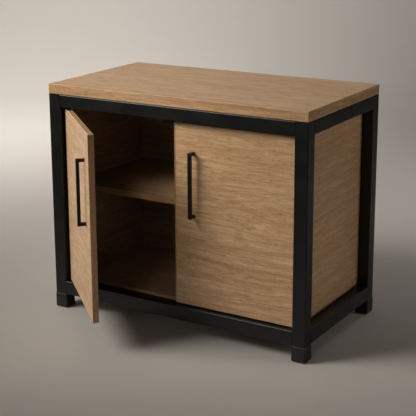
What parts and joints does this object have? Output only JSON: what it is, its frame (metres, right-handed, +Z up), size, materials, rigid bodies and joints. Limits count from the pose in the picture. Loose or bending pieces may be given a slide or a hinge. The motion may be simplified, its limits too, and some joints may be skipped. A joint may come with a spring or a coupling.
{
  "type": "sideboard buffet",
  "caption": "Oak veneered sideboard in a black square-tube frame, with hinged doors on corner pivots, bar handles, a shelf behind them and block feet.",
  "frame": {"origin": "on the floor, at the centre of the rectangle that the four feet stand on", "axes": "+X to the cabinet's right-hand side, +Y to the back, +Z up; the doors are on the -Y side"},
  "size_m": [0.903, 0.7434, 0.738],
  "materials": {
    "frame_powder_coat": "matt black powder coat",
    "handle_powder_coat": "satin black powder coat",
    "foot_plastic": "moulded matt black",
    "felt": "pressed dark grey felt",
    "seal_rubber": "matt black strip",
    "zinc_steel": "bright zinc plated",
    "black_zinc": "black zinc plated",
    "oak_veneer": "matt lacquered oak veneer",
    "oak_lipping": "matt lacquered solid oak",
    "beech": "bare turned beech",
    "nylon": "moulded black nylon",
    "catch_plastic": "moulded black",
    "clear_buffer": "soft translucent"
  },
  "bodies": {
    "cabinet": {"post_front_left": "frame_powder_coat", "post_front_right": "frame_powder_coat", "post_rear_left": "frame_powder_coat", "post_rear_right": "frame_powder_coat", "rail_front_low": "frame_powder_coat", "rail_front_top": "frame_powder_coat", "rail_rear_low": "frame_powder_coat", "rail_rear_top": "frame_powder_coat", "rail_left_low": "frame_powder_coat", "rail_left_top": "frame_powder_coat", "rail_right_low": "frame_powder_coat", "rail_right_top": "frame_powder_coat", "foot_front_left": "foot_plastic", "foot_front_right": "foot_plastic", "foot_rear_left": "foot_plastic", "foot_rear_right": "foot_plastic", "foot_felts": "felt", "post_caps": "frame_powder_coat", "rail_plates": "zinc_steel", "frame_bolts": "zinc_steel", "board_tabs": "frame_powder_coat", "board_screws": "zinc_steel", "slab_tabs": "frame_powder_coat", "slab_screws": "zinc_steel", "slab_seal": "seal_rubber", "slab_top": "oak_veneer", "bottom_board": "oak_veneer", "top_board": "oak_veneer", "side_board_left": "oak_veneer", "side_board_right": "oak_veneer", "back_panel": "oak_veneer", "dowels": "beech", "shelf": "oak_veneer", "shelf_pins": "zinc_steel", "pivot_bushes": "nylon", "catches": "catch_plastic", "catch_screws": "black_zinc", "door_buffers": "clear_buffer"},
    "left_door_leaf": {"left_door": "oak_veneer", "left_door_lippings": "oak_lipping", "left_pivot_plates": "black_zinc", "left_pivot_screws": "black_zinc", "left_strike": "black_zinc", "left_handle": "handle_powder_coat", "left_handle_screws": "zinc_steel"},
    "right_door_leaf": {"right_door": "oak_veneer", "right_door_lippings": "oak_lipping", "right_pivot_plates": "black_zinc", "right_pivot_screws": "black_zinc", "right_strike": "black_zinc", "right_handle": "handle_powder_coat", "right_handle_screws": "zinc_steel"}
  },
  "joints": [
    {"name": "left_door_hinge", "type": "hinge", "parent": "cabinet", "child": "left_door_leaf", "pos_m": [-0.402, -0.2215, 0.378], "axis": [0, 0, -1], "range_deg": [-43, 49]},
    {"name": "right_door_hinge", "type": "hinge", "parent": "cabinet", "child": "right_door_leaf", "pos_m": [0.402, -0.2215, 0.378], "axis": [0, 0, 1], "range_deg": [0, 92]}
  ]
}
